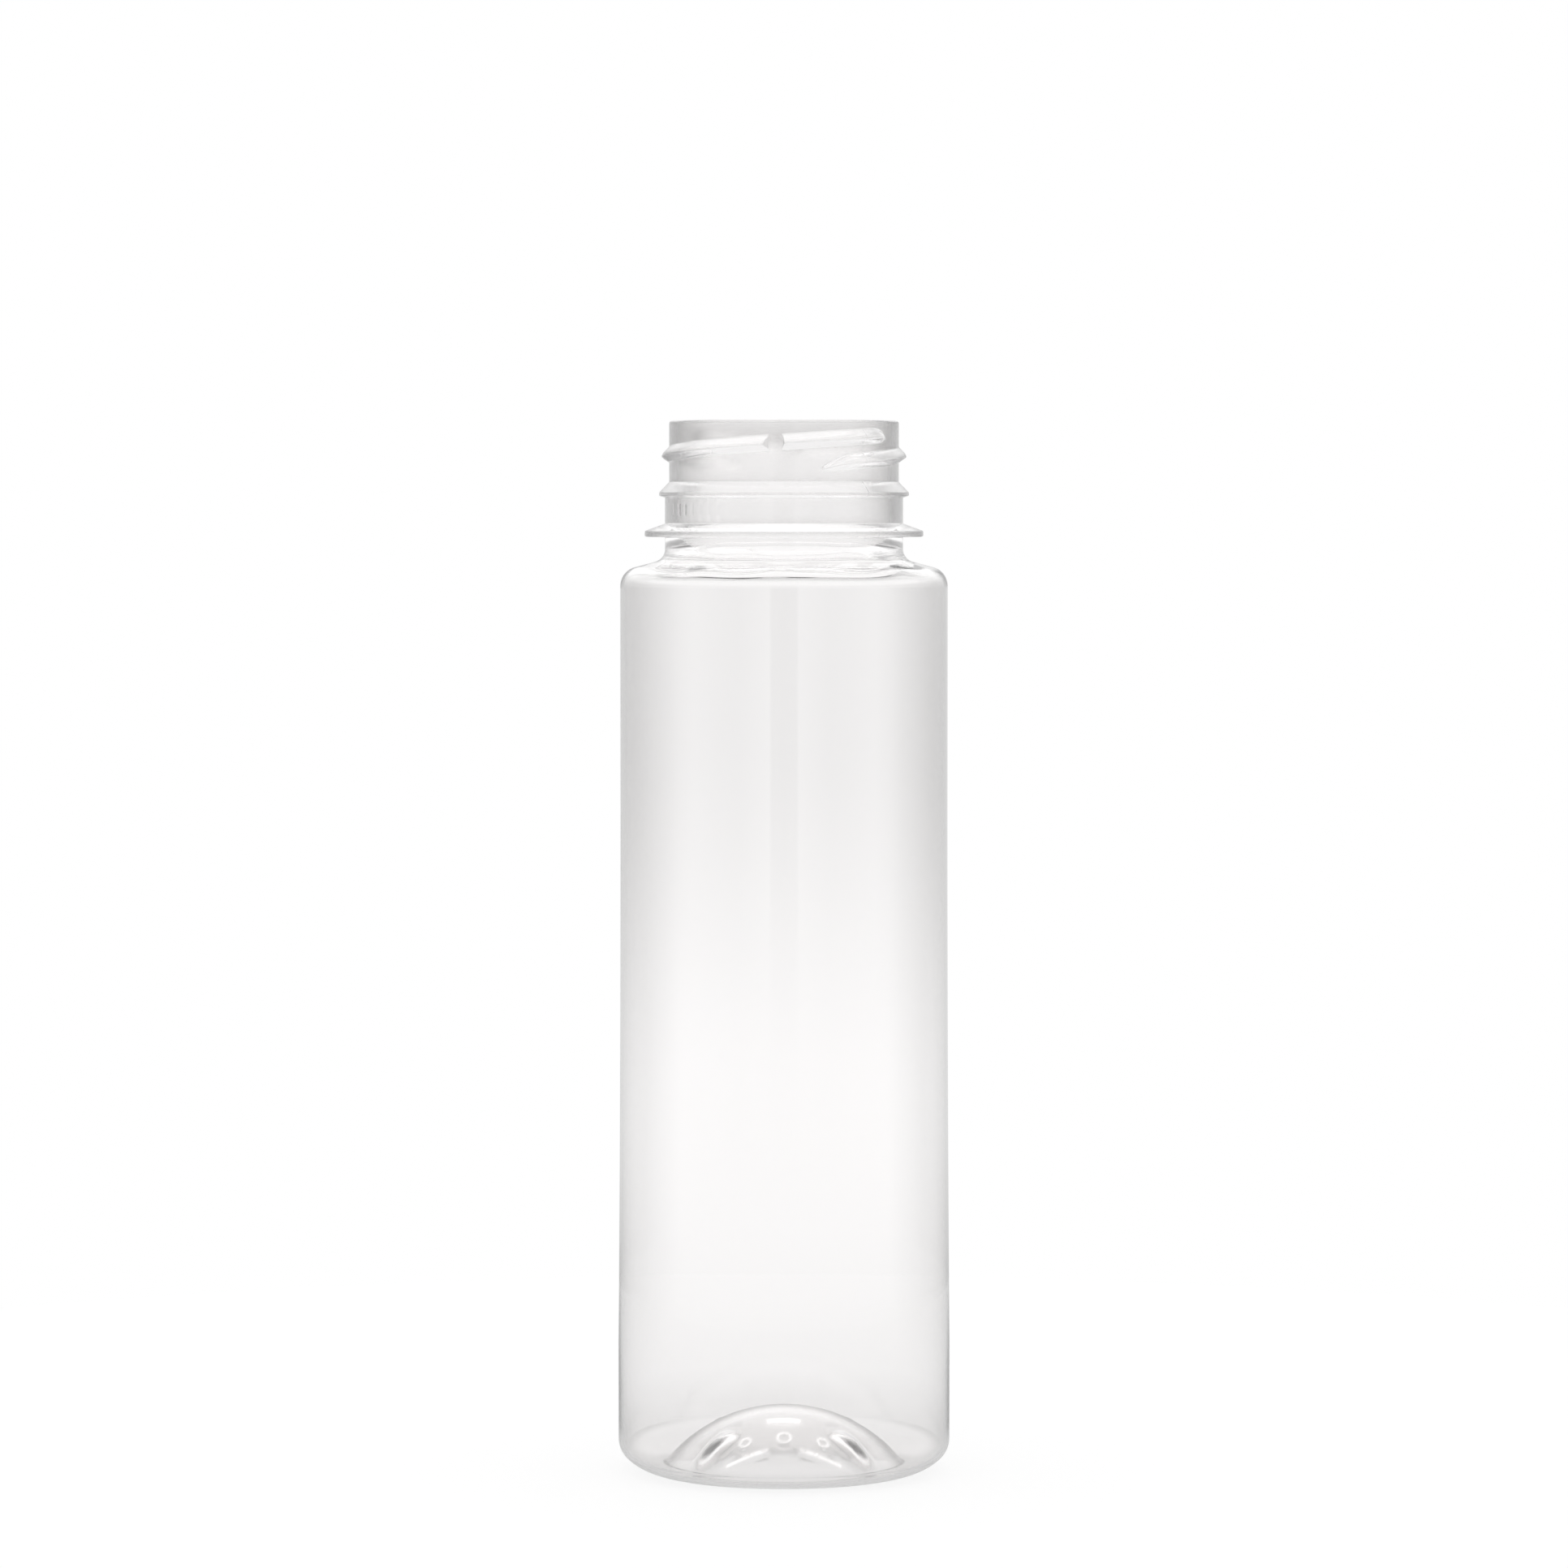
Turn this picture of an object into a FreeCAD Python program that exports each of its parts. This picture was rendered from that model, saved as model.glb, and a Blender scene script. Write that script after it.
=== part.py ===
import FreeCAD, Part
import math
import os
import re
import Sketcher

# Clear blown bottle of 250 ml with a wide 38 mm screw neck, standing on z = 0 about the z axis.
# Lengths are millimetres and angles are degrees. Heights called a drop are measured down from the rim.
sizes = {
    "bottle_height": 161.5,     # standing face to rim

    # neck finish
    "neck_radius": 17.6,        # wall that carries the thread
    "neck_wall": 1.3,
    "rim_bevel": 0.35,
    "collar_step": 0.65,        # plain band below the bead, proud of the neck wall
    "bead_drop": 9.3,           # top of the bead's slope
    "bead_reach": 1.55,
    "bead_slope": 1.63,         # height of the sloping top
    "bead_edge": 0.5,
    "bead_under": 0.3,
    "ring_drop": 15.67,         # top of the support ring's slope
    "ring_reach": 3.1,          # past the collar
    "ring_slope": 1.13,
    "ring_edge": 0.9,

    # screw thread, as many starts as are spaced evenly round the neck
    "thread_starts": 2,
    "thread_lead": 7.3,
    "thread_drop": 6.6,         # middle of the ridge at its low end
    "thread_angle": 109,        # where the first start has its low end
    "thread_reach": 1.2,        # crest above the neck wall
    "thread_root": 2.8,
    "thread_crest": 0.45,
    "thread_lean": 0.17,        # crest below the middle of the root
    "thread_sink": 0.3,         # root inside the neck wall
    "long_run": 152.9,          # low end to vent
    "vent_gap": 8.1,
    "short_run": 57.6,          # vent to high end
    "run_out_land": 0.05,       # what is left of the ridge at its very end

    # shoulder and body
    "shoulder_drop": 21.1,      # sharp corner of collar and shoulder
    "shoulder_angle": 15,
    "neck_round": 1.75,         # hollow round under the collar, as two bevels
    "inner_bevel": 2.2,         # where the bore opens into the shoulder
    "shoulder_round": 3.0,
    "body_radius": 25.1,
    "straight_wall": 94,        # cylinder under the shoulder
    "foot_flare": 0.4,          # the foot is this much wider
    "foot_height": 31,          # wide cylinder above the heel ends here
    "shoulder_wall": 1.0,
    "body_wall": 0.42,

    # base
    "heel_height": 5.0,
    "heel_width": 6.9,          # body side to standing land
    "heel_fullness": 0.76,      # side radius of the heel as a share of its height
    "sole_wall": 0.7,
    "land_width": 0.7,
    "dome_rise": 8.6,           # underside of the pushed-up dome at the axis
    "dome_wall": 1.1,

    # radial ribs of the dome, hollow underneath
    "rib_count": 4,
    "rib_angle": 45,
    "rib_start": 12,            # inner end, from the axis
    "rib_width": 5.6,
    "rib_height": 1.3,
    "rib_wall": 0.6,            # beside the hollow
    "rib_end_wall": 1.2,        # at both ends of the hollow
}

overshoot = 1.0                 # how far a cut runs past the face it opens

doc = FreeCAD.newDocument("bottle")
sheet = doc.addObject("Spreadsheet::Sheet", "dims")
for row, (name, number) in enumerate(sizes.items(), start=1):
    sheet.set(f"A{row}", name)
    sheet.set(f"B{row}", str(number))
    sheet.setAlias(f"B{row}", name)
doc.recompute()

body = doc.addObject("PartDesign::Body", "bottle")
body.Label = "bottle"


def formula(text):
    """Write the size names in a formula the way the sheet's cells are addressed."""
    return re.sub("[a-z_]+", lambda word: f"dims.{word[0]}" if word[0] in sizes else word[0], text)


def value(text):
    return float(body.evalExpression(formula(text)))


# Places on the outline that several features share
collar = "(neck_radius + collar_step)"
bore = "(neck_radius - neck_wall)"
foot = "(body_radius + foot_flare)"
stand = f"({foot} - heel_width)"
land_inside = f"({stand} - land_width)"
shoulder_z = "(bottle_height - shoulder_drop)"
body_top_z = f"({shoulder_z} - (body_radius - {collar}) * tan(shoulder_angle * 1 deg))"
flare_z = f"({body_top_z} - straight_wall)"
bead_root_z = "(bottle_height - bead_drop - bead_slope - bead_edge - bead_under)"

# Rounds of neck and shoulder, each no larger than the shoulder has room for
room = f"0.4 * (body_radius - {collar})"
neck_arc = f"min(neck_round ; {room})"
shoulder_arc = f"min(shoulder_round ; {room})"

# The heel follows two arcs, one level with the body side and one level with the floor, that meet
# on the line through their centres. The floor's arc is drawn as two bevels.
side_arc = "(heel_height * heel_fullness)"
sole_arc = (f"(((heel_width - {side_arc}) ^ 2 + heel_height ^ 2 - {side_arc} ^ 2)"
            f" / (2 * (heel_height - {side_arc})))")
side_centre = f"({foot} - {side_arc})"
heel_turn = f"atan(({sole_arc} - heel_height) / (heel_width - {side_arc}))"
sole_turn = f"((90 deg - {heel_turn}) / 2)"


def sole(wall):
    """Bevels from the standing land to the heel's side arc, a wall inside the outer face."""
    side = f"({side_arc} - {wall})"
    floor = f"({sole_arc} - {wall})"
    return [
        (stand, wall),
        (f"{stand} + {floor} * sin({sole_turn})", f"{sole_arc} - {floor} * cos({sole_turn})"),
        (f"{side_centre} + {side} * cos({heel_turn})", f"heel_height - {side} * sin({heel_turn})"),
    ]



# The dome's two faces are spherical: radius through the apex and the edge at the standing land
dome_top_z = "(dome_rise + dome_wall)"
under_arc = f"(({land_inside} ^ 2 + dome_rise ^ 2) / (2 * dome_rise))"
upper_rise = f"({dome_top_z} - sole_wall)"
upper_arc = f"(({stand} ^ 2 + {upper_rise} ^ 2) / (2 * {upper_rise}))"


def origin_plane(role):
    return next(item for item in body.Origin.OriginFeatures if item.Role == role)


def new_sketch(name, turn=None, outward=None):
    """Sketch in the upright plane through the axis, turned about it, or facing along the turn."""
    sketch = body.newObject("Sketcher::SketchObject", name)
    sketch.AttachmentSupport = [(origin_plane("XZ_Plane"), "")]
    sketch.MapMode = "FlatFace"
    if turn is None:
        return sketch
    facing = f"({turn})" if outward is None else f"({turn} + 90)"
    sketch.AttachmentOffset = FreeCAD.Placement(
        FreeCAD.Vector(), FreeCAD.Rotation(FreeCAD.Vector(0, 1, 0), value(facing)))
    sketch.setExpression("AttachmentOffset.Rotation.Angle", formula(facing))
    if outward is not None:
        across = f"{outward} * cos({turn} * 1 deg)"
        along = f"- {outward} * sin({turn} * 1 deg)"
        sketch.setExpression("AttachmentOffset.Base.x", formula(across))
        sketch.setExpression("AttachmentOffset.Base.z", formula(along))
    return sketch


def place(sketch, edge, end, across, up):
    """Tie one end of an edge to its distances from the axis and the standing face."""
    for kind, text in (("DistanceX", across), ("DistanceY", up)):
        if text == "0":
            axis = -2 if kind == "DistanceX" else -1
            sketch.addConstraint(Sketcher.Constraint("PointOnObject", edge, end, axis))
            continue
        index = sketch.addConstraint(Sketcher.Constraint(kind, edge, end, value(text)))
        sketch.setExpression(f"Constraints[{index}]", formula(text))


def point(across, up):
    return FreeCAD.Vector(value(across), value(up), 0)


def arc_centre(start, end, radius):
    """Centre of an arc that bulges to the right of its chord, or to the left if radius is negative."""
    chord = end - start
    across = FreeCAD.Vector(-chord.y, chord.x, 0).normalize()
    reach = math.sqrt(radius ** 2 - (chord.Length / 2) ** 2)
    return (start + end) / 2 + across * math.copysign(reach, radius)


def add_arc(sketch, start, end, radius):
    """Arc between two points, as its edge and the numbers of its ends at start and end."""
    centre = arc_centre(start, end, radius)
    ends = (start, end) if radius > 0 else (end, start)
    angles = [math.atan2(spot.y - centre.y, spot.x - centre.x) for spot in ends]
    circle = Part.Circle(centre, FreeCAD.Vector(0, 0, 1), abs(radius))
    edge = sketch.addGeometry(Part.ArcOfCircle(circle, *angles))
    return (edge, 1, 2) if radius > 0 else (edge, 2, 1)


def draw(sketch, corners):
    """Closed outline through corners of two formulas each. A third formula makes the edge from
    that corner to the next an arc of that radius, clockwise if it starts with a minus."""
    points = [point(corner[0], corner[1]) for corner in corners]
    chain = []
    for corner, start, end in zip(corners, points, points[1:] + points[:1]):
        if len(corner) == 2:
            chain.append((sketch.addGeometry(Part.LineSegment(start, end)), 1, 2))
            continue
        chain.append(add_arc(sketch, start, end, value(corner[2])))
        radius = corner[2].lstrip("- ")
        index = sketch.addConstraint(Sketcher.Constraint("Radius", chain[-1][0], value(radius)))
        sketch.setExpression(f"Constraints[{index}]", formula(radius))
    for corner, (edge, start_end, _) in zip(corners, chain):
        place(sketch, edge, start_end, corner[0], corner[1])
    for (edge, _, last), (following, first, _) in zip(chain, chain[1:] + chain[:1]):
        sketch.addConstraint(Sketcher.Constraint("Coincident", edge, last, following, first))


def turned(kind, name, sketch):
    """Revolution or Groove of a whole turn about the upright axis."""
    feature = body.newObject(kind, name)
    feature.Profile = sketch
    feature.ReferenceAxis = (sketch, ["V_Axis"])
    feature.Angle = 360
    doc.recompute()
    return feature


# Solid outline: standing land, heel, flared foot, wall, shoulder, collar, neck and dome
across = "cos(shoulder_angle * 1 deg)"
up = "sin(shoulder_angle * 1 deg)"
half_turn = "tan((90 - shoulder_angle) / 2 * 1 deg)"
shoulder_reach = f"({shoulder_arc}) * {half_turn}"
neck_reach = f"({neck_arc}) * {half_turn}"
neck_middle = "((90 - shoulder_angle) / 2 * 1 deg)"
outer_sole = sole("0 * sole_wall")
outline = new_sketch("outer_outline")
draw(outline, [
    ("0", "dome_rise", f"- {under_arc}"),
    (land_inside, "0"),
    *outer_sole[:-1],
    (*outer_sole[-1], side_arc),
    (foot, "heel_height"),
    (foot, "foot_height"),
    ("body_radius", flare_z),
    ("body_radius", f"{body_top_z} - {shoulder_reach}", shoulder_arc),
    (f"body_radius - {shoulder_reach} * {across}", f"{body_top_z} + {shoulder_reach} * {up}"),
    (f"{collar} + {neck_reach} * {across}", f"{shoulder_z} - {neck_reach} * {up}"),
    (f"{collar} + ({neck_arc}) * (1 - cos({neck_middle}))",
     f"{shoulder_z} + {neck_reach} - ({neck_arc}) * sin({neck_middle})"),
    (collar, f"{shoulder_z} + {neck_reach}"),
    (collar, bead_root_z),
    ("neck_radius", bead_root_z),
    ("neck_radius", "bottle_height - rim_bevel"),
    ("neck_radius - rim_bevel", "bottle_height"),
    ("0", "bottle_height"),
])
turned("PartDesign::Revolution", "outer_form", outline)

# Tamper bead with a sloping top that the cap's band snaps over
bead = new_sketch("bead_section")
bead_tip = "(neck_radius + bead_reach)"
bead_root = "(neck_radius - thread_sink)"
draw(bead, [
    (bead_root, bead_root_z),
    (collar, bead_root_z),
    (bead_tip, f"{bead_root_z} + bead_under"),
    (bead_tip, f"{bead_root_z} + bead_under + bead_edge"),
    ("neck_radius", "bottle_height - bead_drop"),
    (bead_root, "bottle_height - bead_drop"),
])
turned("PartDesign::Revolution", "tamper_bead", bead)

# Support ring that the bottle hangs by on the filling line, flat underneath
ring = new_sketch("ring_section")
ring_tip = f"({collar} + ring_reach)"
ring_root = f"({collar} - thread_sink)"
ring_edge_z = "(bottle_height - ring_drop - ring_slope)"
draw(ring, [
    (ring_root, f"{ring_edge_z} - ring_edge"),
    (ring_tip, f"{ring_edge_z} - ring_edge"),
    (ring_tip, ring_edge_z),
    (collar, "bottle_height - ring_drop"),
    (ring_root, "bottle_height - ring_drop"),
])
turned("PartDesign::Revolution", "support_ring", ring)

# Inside: dome and heel, straight wall, a shoulder that thickens towards the neck, and the bore
inside = "(body_radius - body_wall)"
inside_top_z = f"({body_top_z} + body_wall * tan(shoulder_angle * 1 deg) - body_wall / {across})"
bore_end_z = (f"({shoulder_z} + ({collar} - {bore}) * tan(shoulder_angle * 1 deg)"
              f" - shoulder_wall / {across})")
inner_angle = f"atan(({bore_end_z} - {inside_top_z}) / ({inside} - {bore}))"
hollow = new_sketch("inner_outline")
draw(hollow, [
    ("0", dome_top_z, f"- {upper_arc}"),
    *sole("sole_wall"),
    (inside, "heel_height"),
    (inside, f"{inside_top_z} - inner_bevel"),
    (f"{inside} - inner_bevel", f"{inside_top_z} + inner_bevel * tan({inner_angle})"),
    (f"{bore} + inner_bevel", f"{bore_end_z} - inner_bevel * tan({inner_angle})"),
    (bore, f"{bore_end_z} + inner_bevel"),
    (bore, "bottle_height - rim_bevel"),
    (f"{bore} + rim_bevel + {overshoot}", f"bottle_height + {overshoot}"),
    ("0", f"bottle_height + {overshoot}"),
])
turned("PartDesign::Groove", "cavity", hollow)


def spread(name, features, count):
    """Repeat features evenly round the upright axis."""
    pattern = body.newObject("PartDesign::PolarPattern", name)
    pattern.Originals = features
    pattern.Axis = (features[0].Profile[0], ["V_Axis"])
    pattern.Angle = 360
    pattern.Occurrences = round(value(count))
    pattern.setExpression("Occurrences", formula(count))
    body.Tip = pattern
    doc.recompute()
    return pattern


# Dome ribs: a solid rib on the upper face first, then the hollow below it
upper_centre_z = f"({dome_top_z} - {upper_arc})"
under_centre_z = f"(dome_rise - {under_arc})"


def on_arc(across, radius, centre_z):
    """Height of a spherical face at a distance from the axis."""
    return f"{centre_z} + sqrt(({radius}) ^ 2 - ({across}) ^ 2)"


rib_top = f"{upper_arc} + rib_height"
rib_foot = f"{upper_arc} - sole_wall / 2"
rib_sketch = new_sketch("rib_section", turn="rib_angle")
draw(rib_sketch, [
    ("rib_start", on_arc("rib_start", rib_foot, upper_centre_z), f"- ({rib_foot})"),
    (stand, on_arc(stand, rib_foot, upper_centre_z)),
    (stand, on_arc(stand, rib_top, upper_centre_z), rib_top),
    ("rib_start", on_arc("rib_start", rib_top, upper_centre_z)),
])
rib = body.newObject("PartDesign::Pad", "rib")
rib.Profile = rib_sketch
rib.SideType = "Symmetric"
rib.setExpression("Length", formula("rib_width"))
doc.recompute()

hollow_top = f"{under_arc} + rib_height"
hollow_start = "rib_start + rib_end_wall"
hollow_end = f"{stand} - rib_end_wall"
hollow_sketch = new_sketch("rib_hollow_section", turn="rib_angle")
draw(hollow_sketch, [
    (hollow_start, f"- {overshoot}"),
    (hollow_end, f"- {overshoot}"),
    (hollow_end, on_arc(hollow_end, hollow_top, under_centre_z), hollow_top),
    (hollow_start, on_arc(hollow_start, hollow_top, under_centre_z)),
])
rib_hollow = body.newObject("PartDesign::Pocket", "rib_hollow")
rib_hollow.Profile = hollow_sketch
rib_hollow.SideType = "Symmetric"
rib_hollow.setExpression("Length", formula("rib_width - 2 * rib_wall"))
doc.recompute()
spread("dome_ribs", [rib, rib_hollow], "rib_count")

# Screw thread: each start is a long and a short ridge with a vent gap between them
per_degree = "thread_lead / 360"
low_z = "(bottle_height - thread_drop)"


def thread_ridge(name, turn, rise, run):
    """Part of a start, with its section at an angle and a height over the low end."""
    sketch = new_sketch(f"{name}_section", turn=turn)
    middle = f"({low_z} + {rise})"
    root = "(neck_radius - thread_sink)"
    crest = "(neck_radius + thread_reach)"
    draw(sketch, [
        (root, f"{middle} - thread_root / 2"),
        (crest, f"{middle} - thread_lean - thread_crest / 2"),
        (crest, f"{middle} - thread_lean + thread_crest / 2"),
        (root, f"{middle} + thread_root / 2"),
    ])
    ridge = body.newObject("PartDesign::AdditiveHelix", name)
    ridge.Profile = sketch
    ridge.ReferenceAxis = (sketch, ["V_Axis"])
    ridge.Mode = "pitch-turns-angle"
    ridge.setExpression("Pitch", formula("thread_lead"))
    ridge.setExpression("Turns", formula(f"{run} / 360"))
    ridge.LeftHanded = False
    doc.recompute()
    return ridge


def run_out(name, turn, rise):
    """Flat cut across the end of a ridge, so that it fades into the wall."""
    sketch = new_sketch(f"{name}_face", turn=turn, outward="(neck_radius + run_out_land)")
    middle = f"({low_z} + {rise})"
    half_height = "0.72 * thread_root"
    half_width = "0.45 * neck_radius"
    draw(sketch, [
        (f"- {half_width}", f"{middle} - {half_height}"),
        (half_width, f"{middle} - {half_height}"),
        (half_width, f"{middle} + {half_height}"),
        (f"- {half_width}", f"{middle} + {half_height}"),
    ])
    cut = body.newObject("PartDesign::Pocket", name)
    cut.Profile = sketch
    cut.setExpression("Length", formula("2 * thread_reach"))
    cut.Reversed = True
    doc.recompute()
    return cut


vent_end = "(thread_angle + long_run + vent_gap)"
high_end = f"({vent_end} + short_run)"
full_rise = f"(long_run + vent_gap + short_run) * {per_degree}"
threads = [
    thread_ridge("long_ridge", "thread_angle", "0 * thread_lead", "long_run"),
    thread_ridge("short_ridge", vent_end, f"(long_run + vent_gap) * {per_degree}", "short_run"),
    run_out("low_run_out", "thread_angle", "0 * thread_lead"),
    run_out("high_run_out", high_end, full_rise),
]
spread("thread", threads, "thread_starts")

for item in doc.Objects:
    if "Invalid" in item.State or "Error" in item.State:
        raise RuntimeError(f"{item.Name} failed: {item.State}")
bottle = body.Shape
if bottle.isNull() or not bottle.isValid() or len(bottle.Solids) != 1:
    raise RuntimeError("the bottle is not one sound solid")

os.makedirs("parts", exist_ok=True)
bottle.exportStep(f"parts/{body.Label}.step")
print(f"bottle: {bottle.Volume / 1000:.2f} cm3 of material, {len(bottle.Faces)} faces")
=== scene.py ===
import bpy
import math
from mathutils import Matrix, Vector
import numpy as np


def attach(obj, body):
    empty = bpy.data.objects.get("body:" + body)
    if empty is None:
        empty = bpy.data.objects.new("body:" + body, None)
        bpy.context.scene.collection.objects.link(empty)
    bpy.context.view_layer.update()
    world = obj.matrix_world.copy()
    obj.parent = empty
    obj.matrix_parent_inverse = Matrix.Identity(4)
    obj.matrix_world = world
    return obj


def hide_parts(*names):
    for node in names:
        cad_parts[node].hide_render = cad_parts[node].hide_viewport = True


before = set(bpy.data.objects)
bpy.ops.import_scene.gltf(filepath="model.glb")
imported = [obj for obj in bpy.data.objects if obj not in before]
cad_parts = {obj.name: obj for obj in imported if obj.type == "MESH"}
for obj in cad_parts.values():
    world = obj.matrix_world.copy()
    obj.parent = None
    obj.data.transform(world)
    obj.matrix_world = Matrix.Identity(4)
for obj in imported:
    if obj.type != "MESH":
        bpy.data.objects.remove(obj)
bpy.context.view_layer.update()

millimetre = 0.001
halfTurn = 180
print("frame loaded")

# Camera of the photograph, in millimetres from the middle of the standing face
view = {
    "distance": 946,
    "height": 148,
    "pitch": 2.55,          # looks down by this many degrees
    "lens": 141.6,
    "sensor": 36,
    "nearest": 10,          # nothing closer is drawn
    "bounces": 32,          # clear walls need many
}

cameraData = bpy.data.cameras.new("camera")
cameraData.lens = view["lens"]
cameraData.sensor_width = view["sensor"]
cameraData.clip_start = view["nearest"] * millimetre
camera = bpy.data.objects.new("camera", cameraData)
bpy.context.collection.objects.link(camera)
standpoint = Vector((0, -view["distance"], view["height"])) * millimetre
lookDown = Matrix.Rotation(math.radians(90 - view["pitch"]), 4, "X")
camera.matrix_world = Matrix.Translation(standpoint) @ lookDown
bpy.context.scene.camera = camera
bpy.context.scene.view_settings.view_transform = "Standard"
cycles = bpy.context.scene.cycles
cycles.max_bounces = cycles.glossy_bounces = cycles.transmission_bounces = view["bounces"]
print("camera placed")


class Shade:
    # A shader socket that takes part in arithmetic, such as 1 - mask * 0.5

    def __init__(self, tree, socket=None):
        self.tree = tree
        self.socket = socket

    def add(self, kind, settings=None, inputs=None, output=0):
        node = self.tree.nodes.new(kind)
        for name, value in (settings or {}).items():
            if name == "stops":
                setStops(node.color_ramp.elements, value)
            else:
                setattr(node, name, value)
        for name, value in (inputs or {}).items():
            if isinstance(value, Shade):
                self.tree.links.new(value.socket, node.inputs[name])
            else:
                node.inputs[name].default_value = value
        return Shade(self.tree, node.outputs[output] if node.outputs else None)

    def math(self, operation, first, second=0.0):
        return self.add("ShaderNodeMath", {"operation": operation}, {0: first, 1: second})

    def fade(self, first, last):
        # 0 where this value is at first, 1 where it is at last, smooth between
        return self.add("ShaderNodeMapRange", {"interpolation_type": "SMOOTHSTEP"},
                        {"Value": self, "From Min": first, "From Max": last})

    def __add__(self, other):
        return self.math("ADD", self, other)

    def __radd__(self, other):
        return self.math("ADD", other, self)

    def __sub__(self, other):
        return self.math("SUBTRACT", self, other)

    def __rsub__(self, other):
        return self.math("SUBTRACT", other, self)

    def __mul__(self, other):
        return self.math("MULTIPLY", self, other)

    def __rmul__(self, other):
        return self.math("MULTIPLY", other, self)

    def __truediv__(self, other):
        return self.math("DIVIDE", self, other)


def setStops(elements, stops):
    while len(elements) < len(stops):
        elements.new(1.0)
    for element, (position, shade) in zip(elements, stops):
        element.position = position
        element.color = (shade, shade, shade, 1.0)


def emptyTree(owner):
    owner.use_nodes = True
    owner.node_tree.nodes.clear()
    return Shade(owner.node_tree)


def rayIs(tree, kind):
    return tree.add("ShaderNodeLightPath", output="Is " + kind + " Ray")


def hasReflected(tree):
    # A refracted ray counts as glossy too, so only the depth tells a reflection
    return tree.math("GREATER_THAN", tree.add("ShaderNodeLightPath", output="Glossy Depth"), 0.5)


# Sizes of the bottle in millimetres. Angles are degrees round the axis, 0 towards the camera
# and 90 to its right.
bottle = {
    "height": 161.5,
    # neck
    "neckRadius": 17.6,
    "boreRadius": 16.3,
    "rimRound": 0.4,
    "collarRadius": 18.25,
    "beadRadius": 19.15,
    "beadLevels": (149.77, 150.07, 150.57, 152.2),      # root, tip, tip, slope's top
    "beadRoots": (0.08, 0.1),                           # fillets below and above it
    "beadRound": 0.2,
    "ringRadius": 21.35,
    "ringLevels": (143.8, 144.7, 145.83),               # underside, edge, slope's top
    "ringRoots": (0.2, 0.1),
    "ringRound": 0.22,
    # shoulder and wall
    "shoulderLevel": 140.4,                             # where shoulder and collar would meet
    "shoulderSlope": 15,
    "neckFillet": 2.0,
    "boreFillet": 6.0,
    "shoulderRound": 3.0,
    "bodyRadius": 25.1,
    "straightLevel": 120,                               # the wall stands upright here
    "footFlare": 0.4,
    "flareTop": 105,
    "flareBottom": 20,
    "shoulderWall": 0.75,
    "bodyWall": 0.42,
    "footWall": 0.65,
    "thickTop": 30,                                     # the wall thickens from here
    "thickBottom": 8,                                   # down to here
    # base
    "heelHeight": 5.0,
    "heelSide": 3.8,                                    # radius level with the wall
    "heelSole": 8.4,                                    # radius level with the floor
    "soleWall": 0.7,
    "landInside": 17.9,
    "landOutside": 18.6,
    "landRounds": (0.45, 0.5),                          # where the dome leaves it, below and above
    "domeRise": 8.6,
    "domeWall": 1.1,
}

# Two-start thread: each start has its low end, a vent gap and a high end
threadSizes = {
    "starts": (-161.0, 19.0),
    "lead": 7.3,
    "lowDrop": 6.6,             # middle of the ridge below the rim at the low end
    "run": 220.0,               # degrees, and so are the next two
    "ventStart": 153.7,
    "ventEnd": 160.1,
    "ventDraft": (0.9, 0.4),    # widths of its left and right faces
    "reach": 1.2,
    "rootHalf": 1.2,
    "flanks": (1.17, 0.85),     # widths of the upper and the lower flank
    "soften": (0.5, 0.15, 0.12),    # upper crest edge, lower crest edge, root
    "before": 60,               # degrees ahead of a start that are told apart from its end
    "lowFade": 19.0,            # degrees over which the low end narrows
    "lowPower": 0.7,
    "highFade": (11.0, 5.0),    # of the upper and the lower edge
    "lowFocus": 1.05,           # the low end narrows to this far below the middle
    "highFocus": 0.45,
    "noseFade": 7.0,            # degrees over which the high end sinks into the neck
    "flankReach": 0.1,          # a flank is found by the rise this far above and below
}

# Plain raised marks of the mould and its parting line
markSizes = {
    "seams": (42.4, 222.4),
    "seamHeight": 0.022,
    "seamHalf": 0.07,
    "ticks": (-66, -60.5, -55, -49.5, -44, -38.5, -33),     # short bars on the collar
    "tickHalf": 0.2,
    "tickLevels": (147.15, 148.75),
    "tickHeight": 0.05,
    "tickSoft": 0.2,
    "bars": (((-8.5, -14.6), (-2.6, -13.9)), ((2.6, -13.9), (8.5, -14.6))),
    "barHalf": 0.3,
    "rings": (((0.0, -11.6), 1.0), ((-5.9, -11.5), 0.8), ((5.9, -11.5), 0.8)),
    "ringHalf": 0.17,
    "baseSoft": 0.35,
    "baseHeight": 0.04,
    "insideDepth": 0.03,        # the base's marks show as dents on its inner face
}

# Four ribs in the dome, hollow from below
ribSizes = {
    "angles": (45, 135, 225, 315),
    "inner": 9.0,
    "outer": 19.2,
    "half": 2.8,
    "lift": 1.15,
    "hollowLift": 0.6,
    "rise": (10.0, 15.5),       # from and to this far out the ribs rise out of the dome
    "soft": 2.5,
    "steepest": 0.85,           # sine of the dome's slope past which a rib grows no higher
    "hollowInner": 10.0,
    "hollowOuter": 17.4,
    "hollowHalf": 2.2,
}

# Waves round the inside of the shoulder
waveSizes = {
    "middle": 20.3,             # radius
    "half": 2.9,
    "waves": ((2, 0.07, 1.0), (5, 0.06, 2.3), (9, 0.05, 0.4), (14, 0.03, 3.0)),     # number, height, turn
}

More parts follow.
